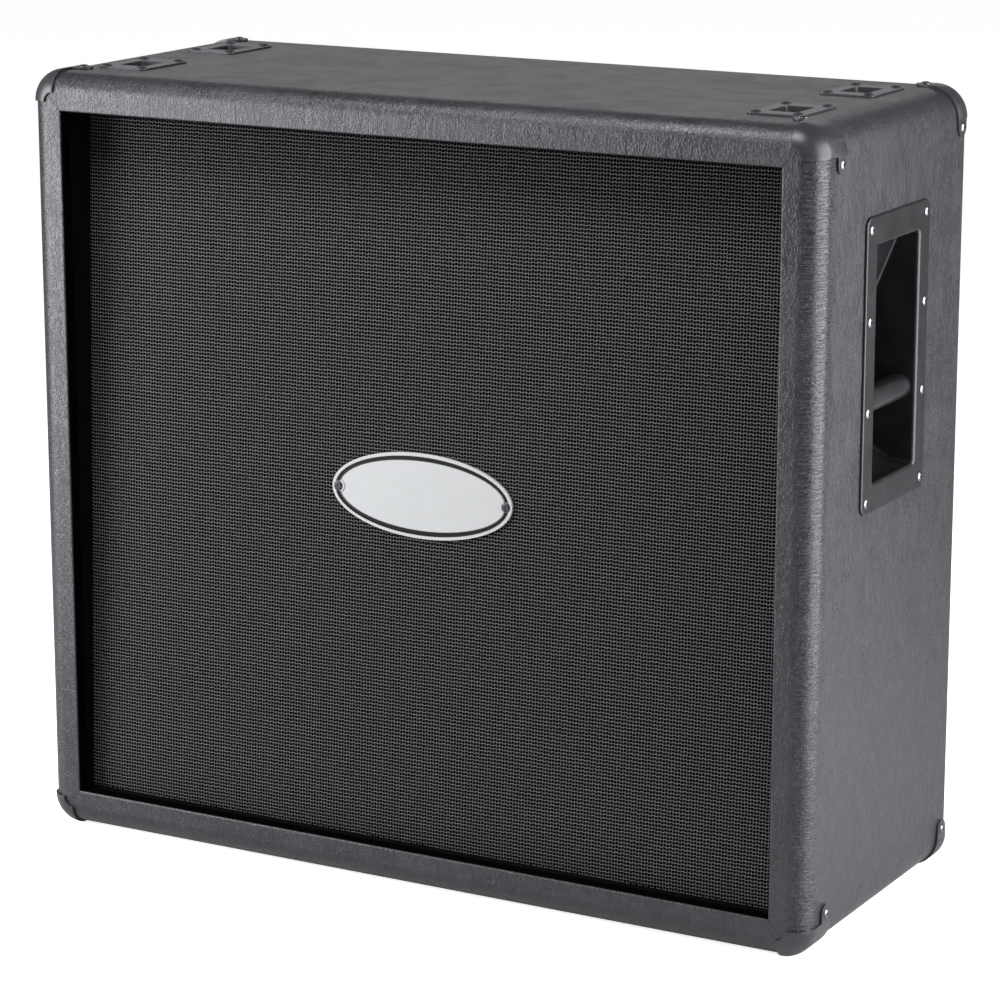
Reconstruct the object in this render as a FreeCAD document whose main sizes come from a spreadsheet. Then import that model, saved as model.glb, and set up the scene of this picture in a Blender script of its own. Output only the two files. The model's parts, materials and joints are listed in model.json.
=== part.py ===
import FreeCAD, Part
import math
import os

import Sketcher
from FreeCAD import Placement, Rotation, Vector

# A straight guitar speaker cabinet with four twelve-inch loudspeakers, in millimetres.
# X runs to the right of someone facing the grille, Y from the grille to the rear panel, Z up.
# The origin is at the middle of the footprint, on the floor.

SIZES = {
    # shell
    "speaker_side_room": 43.5, "speaker_end_room": 8.5, "cab_depth": 300,
    "vinyl_thick": 1, "panel_thick": 18, "edge_radius": 26, "front_radius": 19, "rear_radius": 5,
    "frame_width": 34, "lip_depth": 12, "lip_radius": 2.4, "cut_overrun": 6,
    # grille and baffle, which lean back together
    "grille_tilt": 2, "recess_low": 21, "grille_clearance": 0.8, "cloth_thick": 1,
    "grille_frame_thick": 10, "grille_rail": 26, "grille_bar": 44,
    "baffle_thick": 18, "baffle_clearance": 0.5,
    # rear panel, its battens and the centre post
    "rear_thick": 15, "rear_recess": 4, "rear_clearance": 1, "batten_side": 20, "post_side": 45,
    # badge
    "badge_width": 178, "badge_height": 74.5, "badge_thick": 2.6, "badge_rim": 3.4, "badge_relief": 0.8,
    "badge_screw_inset": 6, "badge_head_radius": 4.2, "badge_head_height": 1.2,
    "badge_shank_radius": 1.4, "badge_shank_length": 9,
    # corner protectors
    "guard_thick": 2, "guard_front": 26, "guard_notch": 9, "guard_flank": 24, "guard_tail": 1.5,
    "guard_neck": 5, "guard_tongue_radius": 8, "guard_screw_back": 38, "guard_screw_drop": 33,
    # handles
    "handle_mouth_depth": 86, "handle_mouth_height": 198, "handle_rim_side": 22, "handle_rim_end": 25,
    "handle_plate_thick": 2.4, "handle_plate_radius": 9, "handle_plate_round": 1.6, "handle_mouth_round": 3,
    "handle_from_front": 155, "handle_below_top": 207.5, "handle_screw_side": 8.5, "handle_screw_end": 10.5,
    "dish_depth": 56, "dish_wall": 2.5, "dish_roof": 16, "dish_slope_drop": 98, "dish_lip": 4,
    "dish_clearance": 1, "dish_round": 3, "grip_radius": 11, "grip_inset": 13, "grip_drop": 33.5,
    # plates let into the top
    "plate_mouth_width": 26, "plate_mouth_length": 36, "plate_mouth_radius": 2.5,
    "plate_rim_side": 12, "plate_rim_end": 17,
    "plate_thick": 1.6, "plate_radius": 5, "plate_cup_depth": 16, "plate_wall": 1.2,
    "plate_from_side": 64, "plate_gap": 1.5, "plate_from_rear": 76, "plate_screw_inset": 6.5,
    # jack dish and jacks
    "jack_mouth_width": 96, "jack_mouth_height": 46, "jack_rim_side": 17, "jack_rim_end": 15,
    "jack_plate_thick": 2, "jack_plate_radius": 8, "jack_cup_depth": 30, "jack_wall": 2,
    "jack_above_base": 190, "jack_pitch": 46, "jack_screw_inset": 8,
    "jack_bore_radius": 3.2, "jack_bush_radius": 4.75, "jack_bush_length": 9, "jack_fit": 0.1,
    "jack_body_width": 18, "jack_body_height": 22, "jack_body_length": 24,
    "jack_nut_radius": 7, "jack_nut_thick": 2.5,
    # stem sockets in the bottom
    "socket_bore_radius": 5.6, "socket_tube_radius": 8, "socket_length": 38, "socket_flange_radius": 18,
    "socket_flange_thick": 1.6, "socket_gap": 4, "socket_from_end": 62, "socket_fit": 0.2,
    # wood screws
    "screw_head_radius": 4.2, "screw_head_height": 1.6, "screw_shank_radius": 1.9,
    "screw_length": 16, "screw_fit": 0.1, "screw_slot": 0.9, "screw_slot_depth": 0.8,
    "screw_slot_length": 4.6, "long_screw_length": 32,
    # loudspeakers, front to back
    "speaker_hole_radius": 141.5, "speaker_gap": 13, "flange_width": 14, "gasket_thick": 3,
    "sheet_thick": 1.6, "skirt_step": 3, "skirt_depth": 12, "surround_width": 13.5,
    "surround_rim_width": 6, "surround_seat_gap": 0.3, "surround_rise": 2.4, "speaker_screw_step": 9.3,
    "paper_thick": 0.8, "cone_rim_depth": 5, "cone_apex_depth": 64, "cap_radius": 44, "cap_rise": 13.5,
    "window_room": 14, "window_inner_half": 20, "window_outer_half": 33,
    "spider_width": 32, "spider_ledge": 12, "spider_gap": 11, "spider_wave": 2,
    "former_radius": 22.4, "former_thick": 0.5, "former_head": 4, "former_tail": 2,
    "winding_thick": 0.7, "winding_length": 12, "pole_gap": 0.5, "neck_inset": 24, "neck_length": 17,
    "front_plate_thick": 8, "front_plate_step": 4, "magnet_radius": 78, "magnet_hole_step": 4,
    "magnet_thick": 20, "yoke_inset": 6, "yoke_thick": 8,
    "tag_width": 24, "tag_length": 16, "tag_thick": 3, "tag_setback": 4,
    # leads
    "lead_radius": 1.3, "lead_bend": 14, "lead_spacing": 8,
}
FINGERS = 7
WINDOWS = 8
SPIDER_WAVES = 3
HANDLE_SCREW_ROWS = 4
SPEAKER_SCREW_ANGLES = (45, 135, 225, 315)
REAR_SCREW_SHARES = (-0.75, -0.25, 0.25, 0.75)
BAFFLE_SCREW_SHARES = (0.08, 0.36, 0.64, 0.92)
HEAD_SIDE_SHARE = 0.35
HEAD_CROWN_SHARE = 0.6
LEAD_VOLUME_SHARE = 0.01
TOLERANCE = 0.001

PLACES = {
    # loudspeaker radii and depths behind the baffle
    "flange_radius": "speaker_hole_radius + flange_width",
    "skirt_radius": "speaker_hole_radius + skirt_step",
    "surround_rim_radius": "speaker_hole_radius + surround_rim_width",
    "speaker_screw_radius": "speaker_hole_radius + speaker_screw_step",
    "cone_radius": "speaker_hole_radius - surround_width",
    "ledge_inner_radius": "former_radius + spider_width",
    "ledge_radius": "former_radius + spider_width + spider_ledge",
    "window_inner_radius": "ledge_radius + window_room",
    "window_outer_radius": "skirt_radius - window_room",
    "neck_radius": "ledge_inner_radius - neck_inset",
    "ledge_depth": "cone_apex_depth + spider_gap",
    "front_plate_depth": "ledge_depth + neck_length",
    "magnet_depth": "front_plate_depth + front_plate_thick",
    "yoke_depth": "magnet_depth + magnet_thick",
    "front_plate_radius": "ledge_inner_radius + front_plate_step",
    "yoke_radius": "magnet_radius - yoke_inset",
    "pole_radius": "former_radius - former_thick - pole_gap",
    "gap_radius": "former_radius + winding_thick + pole_gap",
    "magnet_hole_radius": "gap_radius + magnet_hole_step",
    "winding_start": "front_plate_depth + front_plate_thick / 2 - winding_length / 2",
    "winding_end": "winding_start + winding_length",
    "former_start": "cone_apex_depth - former_head",
    "former_end": "winding_end + former_tail",
    "speaker_pitch": "2 * flange_radius + speaker_gap",
    # the cabinet over its vinyl is as large as its loudspeakers need
    "cab_width": "2 * (flange_radius + speaker_side_room + panel_thick + vinyl_thick) + speaker_pitch",
    "cab_height": "2 * (flange_radius + speaker_end_room + panel_thick + vinyl_thick) + speaker_pitch",
    "half_w": "cab_width / 2",
    "front_y": "-cab_depth / 2",
    "rear_y": "cab_depth / 2",
    "base_z": "guard_thick",
    "top_z": "base_z + cab_height",
    "mid_z": "base_z + cab_height / 2",
    "wood_x": "half_w - vinyl_thick",
    "wood_front": "front_y + vinyl_thick",
    "wood_low": "base_z + vinyl_thick",
    "inner_x": "wood_x - panel_thick",
    "floor_z": "wood_low + panel_thick",
    "ceil_z": "top_z - vinyl_thick - panel_thick",
    "open_x": "half_w - frame_width",
    "open_low": "base_z + frame_width",
    "open_high": "top_z - frame_width",
    "strip_x": "open_x + vinyl_thick",
    "strip_low": "open_low - vinyl_thick",
    "strip_high": "open_high + vinyl_thick",
    "strip_thick": "inner_x - strip_x",
    "finger_pitch": f"(cab_depth - 2 * vinyl_thick) / {FINGERS}",
    # the leaning frame starts at the foot of the cloth's front face
    "lean_cos": "cos(grille_tilt)",
    "lean_sin": "sin(grille_tilt)",
    "lean_y": "front_y + recess_low",
    "lean_height": "(strip_high - strip_low) / lean_cos",
    "baffle_y": "cloth_thick + grille_frame_thick",
    "mount_y": "baffle_y + baffle_thick",
    "badge_screw_x": "badge_width / 2 - badge_screw_inset",
    "rear_out": "rear_y - rear_recess",
    "rear_in": "rear_out - rear_thick",
    "rear_half_w": "inner_x - vinyl_thick - rear_clearance",
    "rear_low": "floor_z + vinyl_thick + rear_clearance",
    "rear_high": "ceil_z - vinyl_thick - rear_clearance",
    "guard_reach": "guard_screw_back + guard_tongue_radius + guard_tail",
    "guard_rear_back": "rear_radius + guard_tongue_radius",
    "guard_rear_reach": "guard_rear_back + guard_tongue_radius + guard_tail",
    "handle_plate_depth": "handle_mouth_depth + 2 * handle_rim_side",
    "handle_plate_height": "handle_mouth_height + 2 * handle_rim_end",
    "handle_y": "front_y + handle_from_front",
    "handle_z": "top_z - handle_below_top",
    "handle_screw_x": "handle_plate_depth / 2 - handle_screw_side",
    "handle_screw_pitch": f"(handle_plate_height - 2 * handle_screw_end) / {HANDLE_SCREW_ROWS - 1}",
    "plate_width": "plate_mouth_width + 2 * plate_rim_side",
    "plate_length": "plate_mouth_length + 2 * plate_rim_end",
    "plate_x": "half_w - plate_from_side",
    "plate_front": "front_y + guard_reach + plate_gap + plate_length / 2",
    "plate_rear": "rear_y - plate_from_rear",
    "jack_plate_width": "jack_mouth_width + 2 * jack_rim_side",
    "jack_plate_height": "jack_mouth_height + 2 * jack_rim_end",
    "jack_z": "base_z + jack_above_base",
    "jack_floor_y": "rear_out - jack_cup_depth",
    "jack_inside_y": "jack_floor_y - jack_wall",
    "socket_x": "half_w - guard_screw_drop - guard_tongue_radius - socket_gap - socket_flange_radius",
}

doc = FreeCAD.newDocument("speaker_cabinet")
sheet = doc.addObject("Spreadsheet::Sheet", "Sizes")
places = doc.addObject("App::FeaturePython", "Places")
gauge = doc.addObject("App::FeaturePython", "Gauge")
nodes = []


def fill_sheet():
    for row, (alias, value) in enumerate(SIZES.items(), start=1):
        sheet.set(f"A{row}", alias)
        sheet.set(f"B{row}", str(value))
        sheet.setAlias(f"B{row}", alias)
    doc.recompute()
    for name, text in PLACES.items():
        places.addProperty("App::PropertyFloat", name)
        places.setExpression(name, formula(text))
    gauge.addProperty("App::PropertyFloat", "reading")
    doc.recompute()


def formula(text):
    words = []
    word = ""
    for letter in f"{text} ":
        if letter.isalnum() or letter in "_.":
            word += letter
            continue
        if word in SIZES:
            word = f"Sizes.{word}"
        elif word in PLACES:
            word = f"Places.{word}"
        words.append(word + letter)
        word = ""
    return "".join(words).strip()


def num(text):
    gauge.setExpression("reading", formula(text))
    gauge.recompute()
    return gauge.reading


def bind(item, **formulas):
    for name, text in formulas.items():
        item.setExpression(name, formula(text))


def put(item, x="0", y="0", z="0"):
    bind(item, **{"Placement.Base.x": x, "Placement.Base.y": y, "Placement.Base.z": z})
    return item


# Stands an item in the leaning frame of the grille, at a place given in that frame.
def lean(item, x="0", back="0", up="0"):
    item.Placement = Placement(Vector(), Rotation(Vector(1, 0, 0), -1))
    put(item, x, f"lean_y + ({back}) * lean_cos + ({up}) * lean_sin",
        f"strip_low - ({back}) * lean_sin + ({up}) * lean_cos")
    bind(item, **{"Placement.Rotation.Angle": "-grille_tilt"})
    return item


def keep(item, label):
    item.Label = label
    nodes.append(item)
    return item


def box(name, x, y, z, length, width, height):
    block = doc.addObject("Part::Box", name)
    bind(block, Length=length, Width=width, Height=height)
    return put(block, x, y, z)


# A round bar from a place, along Z or, laid down, along Y.
def rod(name, radius, length, x="0", y="0", z="0", laid=True):
    bar = doc.addObject("Part::Cylinder", name)
    bind(bar, Radius=radius, Height=length)
    if laid:
        bar.Placement = Placement(Vector(), Rotation(Vector(1, 0, 0), -90))
    return put(bar, x, y, z)


def combine(kind, name, base, tool):
    result = doc.addObject(kind, name)
    result.Base = base
    result.Tool = tool
    return result


def cut(name, base, *tools):
    for index, tool in enumerate(tools, start=1):
        step = name if index == len(tools) else f"{name}_cut{index}"
        base = combine("Part::Cut", step, base, tool)
    return base


def fuse(name, first, *others):
    for index, other in enumerate(others, start=1):
        step = name if index == len(others) else f"{name}_add{index}"
        first = combine("Part::Fuse", step, first, other)
    return first


def group(name, items):
    compound = doc.addObject("Part::Compound", name)
    compound.Links = list(items)
    return compound


def mirror(name, source, normal, base=Vector()):
    copy = doc.addObject("Part::Mirroring", name)
    copy.Source = source
    copy.Normal = normal
    copy.Base = base
    return copy


def solid(name, shape):
    feature = doc.addObject("Part::Feature", name)
    feature.Shape = shape
    return feature


def arc_edge(start, end, radius, turn):
    chord = end - start
    middle = (start + end) / 2
    left = Vector(-chord.y, chord.x, 0).normalize()
    rise = math.sqrt(max(radius ** 2 - (chord.Length / 2) ** 2, 0))
    centre = middle + left * (turn * rise)
    first, last = (start, end) if turn > 0 else (end, start)
    angles = [math.atan2(spot.y - centre.y, spot.x - centre.x) for spot in (first, last)]
    return Part.ArcOfCircle(Part.Circle(centre, Vector(0, 0, 1), radius), *angles)


# Draws a closed outline whose corners are pairs of formulas. A corner with a radius and a turn
# is reached along an arc, counter-clockwise where the turn is positive.
def outline(body, name, plane, corners):
    sketch = body.newObject("Sketcher::SketchObject", name)
    support = next(item for item in body.Origin.OriginFeatures if item.Role == plane)
    sketch.AttachmentSupport = [(support, "")]
    sketch.MapMode = "FlatFace"
    spots = [Vector(num(corner[0]), num(corner[1]), 0) for corner in corners]
    ends = []
    for index, corner in enumerate(corners):
        start, end = spots[index - 1], spots[index]
        if len(corner) == 2:
            ends.append((sketch.addGeometry(Part.LineSegment(start, end)), 1, 2))
            continue
        radius, turn = corner[2:]
        edge = sketch.addGeometry(arc_edge(start, end, num(radius), turn))
        ends.append((edge, 1, 2) if turn > 0 else (edge, 2, 1))
        row = sketch.addConstraint(Sketcher.Constraint("Radius", edge, num(radius)))
        sketch.setExpression(f"Constraints[{row}]", formula(radius))
    for index, corner in enumerate(corners):
        edge, first, last = ends[index]
        before, _, before_last = ends[index - 1]
        sketch.addConstraint(Sketcher.Constraint("Coincident", before, before_last, edge, first))
        for kind, axis, text in (("DistanceX", -2, corner[0]), ("DistanceY", -1, corner[1])):
            if text == "0":
                sketch.addConstraint(Sketcher.Constraint("PointOnObject", edge, last, axis))
                continue
            row = sketch.addConstraint(Sketcher.Constraint(kind, -1, 1, edge, last, num(text)))
            sketch.setExpression(f"Constraints[{row}]", formula(text))
    return sketch


# Raises an outline along the axis its plane leaves out, from a start to a length.
def prism(name, plane, corners, start, length):
    body = doc.addObject("PartDesign::Body", name)
    sketch = outline(body, f"{name}_outline", plane, corners)
    pad = body.newObject("PartDesign::Pad", f"{name}_pad")
    pad.Profile = sketch
    bind(pad, Length=length)
    pad.Reversed = plane == "XZ_Plane"
    axis = {"XY_Plane": "z", "XZ_Plane": "y", "YZ_Plane": "x"}[plane]
    bind(body, **{f"Placement.Base.{axis}": start})
    return body


# Turns an outline of radius and depth about the Y axis.
def turned(name, corners):
    body = doc.addObject("PartDesign::Body", name)
    sketch = outline(body, f"{name}_outline", "XY_Plane", corners)
    turn = body.newObject("PartDesign::Revolution", f"{name}_turn")
    turn.Profile = sketch
    turn.ReferenceAxis = (sketch, ["V_Axis"])
    turn.Angle = 360
    return body


def rounded(x_low, x_high, z_low, z_high, radius):
    return [
        (f"{x_high} - {radius}", z_low),
        (x_high, f"{z_low} + {radius}", radius, 1),
        (x_high, f"{z_high} - {radius}"),
        (f"{x_high} - {radius}", z_high, radius, 1),
        (f"{x_low} + {radius}", z_high),
        (x_low, f"{z_high} - {radius}", radius, 1),
        (x_low, f"{z_low} + {radius}"),
        (f"{x_low} + {radius}", z_low, radius, 1),
    ]


def at_level(value, level):
    return math.isclose(value, level, abs_tol=TOLERANCE)


def faces_at(shape, axis, level):
    found = []
    for index, face in enumerate(shape.Faces, start=1):
        bounds = face.BoundBox
        low, high = getattr(bounds, f"{axis}Min"), getattr(bounds, f"{axis}Max")
        if at_level(low, level) and at_level(high, level):
            found.append(f"Face{index}")
    return found


# Rounds the edges of a shape that lie flat at a level and within a reach of the middle.
def ease(name, base, flat_axis, level, reach_axis, middle, reach, radius):
    doc.recompute()
    edges = []
    for index, edge in enumerate(base.Shape.Edges, start=1):
        bounds = edge.BoundBox
        ends = [getattr(bounds, f"{flat_axis}{end}") for end in ("Min", "Max")]
        across = [abs(getattr(bounds, f"{reach_axis}{end}") - num(middle)) for end in ("Min", "Max")]
        if all(at_level(end, num(level)) for end in ends) and max(across) < num(reach) + TOLERANCE:
            edges.append((index, num(radius), num(radius)))
    eased = doc.addObject("Part::Fillet", name)
    eased.Base = base
    eased.Edges = edges
    return eased


def round_face(body, axis, level, radius):
    doc.recompute()
    before = body.Tip
    fillet = body.newObject("PartDesign::Fillet", f"{body.Name}_{axis}_round")
    fillet.Base = (before, faces_at(before.Shape, axis, num(level)))
    bind(fillet, Radius=radius)
    body.Tip = fillet


# The cabinet's rounded block, grown outward by a growth that may be negative.
def block(name, growth):
    grown = f"({growth})"
    body = prism(name, "XZ_Plane", rounded(f"-half_w - {grown}", f"half_w + {grown}", f"base_z - {grown}",
                                           f"top_z + {grown}", f"(edge_radius + {grown})"),
                 f"front_y - {grown}", f"cab_depth + 2 * {grown}")
    round_face(body, "Y", "0", f"front_radius + {grown}")
    round_face(body, "Y", f"cab_depth + 2 * {grown}", f"rear_radius + {grown}")
    return body


# Wood screws point along Y, with the underside of the head at zero and the head towards plus Y.
def screw_form(name, head, height, shank, length):
    profile = turned(f"{name}_turned", [
        ("0", f"-{length}"), (f"{shank} / 2", f"-{length}"), (shank, f"-{length} + {shank} * 2"),
        (shank, "0"), (head, "0"), (head, f"{height} * {HEAD_SIDE_SHARE}"),
        (f"{head} * {HEAD_CROWN_SHARE}", height), ("0", height)])
    slots = []
    arms = (("screw_slot_length", "screw_slot"), ("screw_slot", "screw_slot_length"))
    for index, (wide, deep) in enumerate(arms):
        slots.append(box(f"{name}_slot{index}", f"-{wide} / 2", f"{height} - screw_slot_depth",
                         f"-{deep} / 2", wide, "screw_slot_depth + cut_overrun", deep))
    return cut(name, profile, *slots)


def at_spots(shape, spots):
    placed = []
    for spot, out in spots:
        placed.append(shape.transformed(Placement(spot, Rotation(Vector(0, 1, 0), out)).toMatrix()))
    return Part.Compound(placed)


def drill(shank, length, spots):
    radius = num(f"{shank} + screw_fit")
    reach = num(f"{length} + screw_head_height")
    hole = Part.makeCylinder(radius, reach, Vector(0, num("screw_head_height") - reach, 0), Vector(0, 1, 0))
    return at_spots(hole, spots)


# Every corner has a screw in its flank. Only the upper ones have one on top, because the
# cabinet stands on the lower ones.
def corner_spots():
    spots = []
    inset = num("guard_screw_drop")
    high, low = num("top_z") - inset, num("base_z") + inset
    for side in (-1, 1):
        wall, top_x = side * num("half_w + guard_thick"), side * (num("half_w") - inset)
        for y in (num("front_y + guard_screw_back"), num("rear_y - guard_rear_back")):
            spots.append((Vector(wall, y, low), Vector(side, 0, 0)))
            spots.append((Vector(wall, y, high), Vector(side, 0, 0)))
            spots.append((Vector(top_x, y, num("top_z + guard_thick")), Vector(0, 0, 1)))
    return spots


def handle_spots():
    spots = []
    for side in (-1, 1):
        for column in (-1, 1):
            for row in range(HANDLE_SCREW_ROWS):
                z = num("handle_z") + (row - (HANDLE_SCREW_ROWS - 1) / 2) * num("handle_screw_pitch")
                y = num("handle_y") + column * num("handle_screw_x")
                spots.append((Vector(side * num("half_w + handle_plate_thick"), y, z), Vector(side, 0, 0)))
    return spots


def plate_centres():
    return [(f"({side} * plate_x)", row) for side in (-1, 1) for row in ("plate_front", "plate_rear")]


def plate_spots():
    spots = []
    for x, y in plate_centres():
        for across in (-1, 1):
            for along in (-1, 1):
                spots.append((Vector(num(x) + across * num("plate_width / 2 - plate_screw_inset"),
                                     num(y) + along * num("plate_length / 2 - plate_screw_inset"),
                                     num("top_z + plate_thick")), Vector(0, 0, 1)))
    return spots


def rear_spots():
    spots = []
    z_middle = num("mid_z")
    half_w = num("inner_x - batten_side / 2")
    half_h = num("ceil_z - mid_z - batten_side / 2")
    for share in REAR_SCREW_SHARES:
        for sign in (-1, 1):
            spots.append((Vector(share * half_w, num("rear_out"), z_middle + sign * half_h), Vector(0, 1, 0)))
            spots.append((Vector(sign * half_w, num("rear_out"), z_middle + share * half_h), Vector(0, 1, 0)))
    spots.append((Vector(0, num("rear_out"), z_middle), Vector(0, 1, 0)))
    return spots


def jack_spots():
    half_x = num("jack_plate_width / 2 - jack_screw_inset")
    half_z = num("jack_plate_height / 2 - jack_screw_inset")
    y, z = num("rear_out + jack_plate_thick"), num("jack_z")
    return [(Vector(across * half_x, y, z + level * half_z), Vector(0, 1, 0))
            for across in (-1, 1) for level in (-1, 1)]


# Places in the leaning frame: x, depth behind the cloth's face, height along the lean.
def baffle_spots():
    spots = []
    x = num("(strip_x + inner_x) / 2")
    for share in BAFFLE_SCREW_SHARES:
        for side in (-1, 1):
            spots.append((Vector(side * x, num("mount_y"), share * num("lean_height")), Vector(0, 1, 0)))
    return spots


def badge_spots():
    x, up = num("badge_screw_x"), num("lean_height / 2")
    return [(Vector(side * x, -num("badge_thick"), up), Vector(0, -1, 0)) for side in (-1, 1)]


def speaker_centres():
    half = "speaker_pitch / 2"
    return [(f"({sx} * {half})", f"(lean_height / 2 + {sz} * {half})") for sz in (1, -1) for sx in (-1, 1)]


def speaker_spots():
    spots = []
    radius = num("speaker_screw_radius")
    back = num("mount_y + gasket_thick + paper_thick + sheet_thick")
    for x, up in speaker_centres():
        for angle in SPEAKER_SCREW_ANGLES:
            turn = math.radians(angle)
            spots.append((Vector(num(x) + radius * math.cos(turn), back, num(up) + radius * math.sin(turn)),
                          Vector(0, 1, 0)))
    return spots


def shell(drills, dish_hole, plate_holes, socket_holes):
    wood = block("wood_block", "-vinyl_thick")
    fingers = {0: [], 1: []}
    for index in range(FINGERS):
        for side in ("-wood_x", "inner_x"):
            for level in ("wood_low", "ceil_z"):
                fingers[index % 2].append(box(f"finger_{len(fingers[0]) + len(fingers[1])}", side,
                                              f"wood_front + {index} * finger_pitch", level,
                                              "panel_thick", "finger_pitch", "panel_thick"))
    even, odd = group("even_fingers", fingers[0]), group("odd_fingers", fingers[1])
    depth = ("wood_front", "cab_depth - 2 * vinyl_thick")
    for label, x in (("left_panel", "-wood_x"), ("right_panel", "inner_x")):
        slab = box(f"{label}_slab", x, depth[0], "wood_low", "panel_thick", depth[1],
                   "cab_height - 2 * vinyl_thick")
        board = combine("Part::Common", f"{label}_board", wood, slab)
        keep(cut(label, board, even, dish_hole, drills), label)
    for label, z, holes in (("bottom_panel", "wood_low", socket_holes), ("top_panel", "ceil_z", plate_holes)):
        slab = box(f"{label}_slab", "-wood_x", depth[0], z, "2 * wood_x", depth[1], "panel_thick")
        board = combine("Part::Common", f"{label}_board", wood, slab)
        keep(cut(label, board, odd, holes, drills), label)
    return wood


# The vinyl wraps the outside and turns in round the front opening and the rear opening.
def vinyl(outer, wood, drills, dish_hole, plate_holes, socket_holes):
    front_lip = box("front_lip", "-strip_x", "front_y", "strip_low", "2 * strip_x", "lip_depth",
                    "strip_high - strip_low")
    rear_lip = box("rear_lip", "-inner_x", "rear_y - lip_depth", "floor_z", "2 * inner_x", "lip_depth",
                   "ceil_z - floor_z")
    core = cut("vinyl_core", wood, front_lip, rear_lip)
    front_open = box("front_open", "-open_x", "front_y - cut_overrun", "open_low", "2 * open_x",
                     "lip_depth + 2 * cut_overrun", "open_high - open_low")
    rear_open = box("rear_open", "-inner_x + vinyl_thick", "rear_y - lip_depth - cut_overrun",
                    "floor_z + vinyl_thick", "2 * inner_x - 2 * vinyl_thick", "lip_depth + 2 * cut_overrun",
                    "ceil_z - floor_z - 2 * vinyl_thick")
    skin = cut("vinyl_skin", outer, core, front_open, rear_open)
    eased = ease("vinyl_eased", skin, "Y", "front_y", "X", "0", "open_x", "lip_radius")
    keep(cut("vinyl_covering", eased, dish_hole, plate_holes, socket_holes, drills), "vinyl_covering")


def front_strips(wood, front_drills):
    face = "(lean_y + baffle_y / lean_cos + ({} - strip_low) * lean_sin / lean_cos)"
    sides = [("wood_front", "floor_z"), (face.format("floor_z"), "floor_z"),
             (face.format("ceil_z"), "ceil_z"), ("wood_front", "ceil_z")]
    low = [("wood_front", "floor_z"), (face.format("floor_z"), "floor_z"),
           (face.format("strip_low"), "strip_low"), ("wood_front", "strip_low")]
    high = [("wood_front", "strip_high"), (face.format("strip_high"), "strip_high"),
            (face.format("ceil_z"), "ceil_z"), ("wood_front", "ceil_z")]
    strips = [prism("strip_left", "YZ_Plane", sides, "-inner_x", "strip_thick"),
              prism("strip_right", "YZ_Plane", sides, "strip_x", "strip_thick"),
              prism("strip_low_bar", "YZ_Plane", low, "-strip_x", "2 * strip_x"),
              prism("strip_high_bar", "YZ_Plane", high, "-strip_x", "2 * strip_x")]
    trimmed = [combine("Part::Common", f"{strip.Name}_trimmed", wood, strip) for strip in strips]
    drilled = [cut(f"{strip.Name}_drilled", strip, front_drills) for strip in trimmed]
    keep(group("front_strips", drilled), "front_strips")


def grille(front_drills):
    inset = "grille_clearance"
    wide = "2 * strip_x - 2 * grille_clearance"
    tall = "lean_height - 2 * grille_clearance"
    cloth = box("cloth_sheet", f"-strip_x + {inset}", "0", inset, wide, "cloth_thick", tall)
    slab = box("grille_slab", f"-strip_x + {inset}", "cloth_thick", inset, wide, "grille_frame_thick", tall)
    holes = []
    spans = ((f"{inset} + grille_rail", "lean_height / 2 - grille_bar / 2"),
             ("lean_height / 2 + grille_bar / 2", f"lean_height - {inset} - grille_rail"))
    for index, (low, high) in enumerate(spans):
        holes.append(box(f"grille_hole{index}", f"-strip_x + {inset} + grille_rail",
                         "cloth_thick - cut_overrun", low, f"{wide} - 2 * grille_rail",
                         "grille_frame_thick + 2 * cut_overrun", f"{high} - ({low})"))
    keep(lean(cut("grille_cloth", cloth, front_drills)), "grille_cloth")
    keep(lean(cut("grille_frame", slab, *holes, front_drills)), "grille_frame")


def baffle(front_drills):
    low = "((floor_z - strip_low + mount_y * lean_sin) / lean_cos + baffle_clearance)"
    high = "((ceil_z - strip_low + baffle_y * lean_sin) / lean_cos - baffle_clearance)"
    slab = box("baffle_slab", "-inner_x + baffle_clearance", "baffle_y", low,
               "2 * inner_x - 2 * baffle_clearance", "baffle_thick", f"{high} - {low}")
    holes = []
    for index, (x, up) in enumerate(speaker_centres()):
        holes.append(rod(f"speaker_hole{index}", "speaker_hole_radius", "baffle_thick + 2 * cut_overrun",
                         x, "baffle_y - cut_overrun", up))
    keep(lean(cut("baffle_board", slab, group("speaker_holes", holes), front_drills)), "baffle_board")


def rear_wall(drills, jack_hole):
    panel = box("rear_slab", "-rear_half_w", "rear_in", "rear_low", "2 * rear_half_w", "rear_thick",
                "rear_high - rear_low")
    keep(cut("rear_panel", panel, jack_hole, drills), "rear_panel")
    start = "rear_in - batten_side"
    height = "ceil_z - floor_z"
    side, between = "batten_side", "2 * inner_x - 2 * batten_side"
    battens = [box("batten_left", "-inner_x", start, "floor_z", side, side, height),
               box("batten_right", f"inner_x - {side}", start, "floor_z", side, side, height),
               box("batten_low", f"-inner_x + {side}", start, "floor_z", between, side, side),
               box("batten_high", f"-inner_x + {side}", start, f"ceil_z - {side}", between, side, side)]
    drilled = [cut(f"{batten.Name}_drilled", batten, drills) for batten in battens]
    keep(group("rear_battens", drilled), "rear_battens")
    # the post's front end follows the leaning baffle
    face = "(lean_y + mount_y / lean_cos + ({} - strip_low) * lean_sin / lean_cos)"
    low, high = "(mid_z - post_side / 2)", "(mid_z + post_side / 2)"
    post = prism("post", "YZ_Plane", [(face.format(low), low), ("rear_in", low), ("rear_in", high),
                                      (face.format(high), high)], "-post_side / 2", "post_side")
    keep(cut("centre_post", post, drills), "centre_post")


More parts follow.
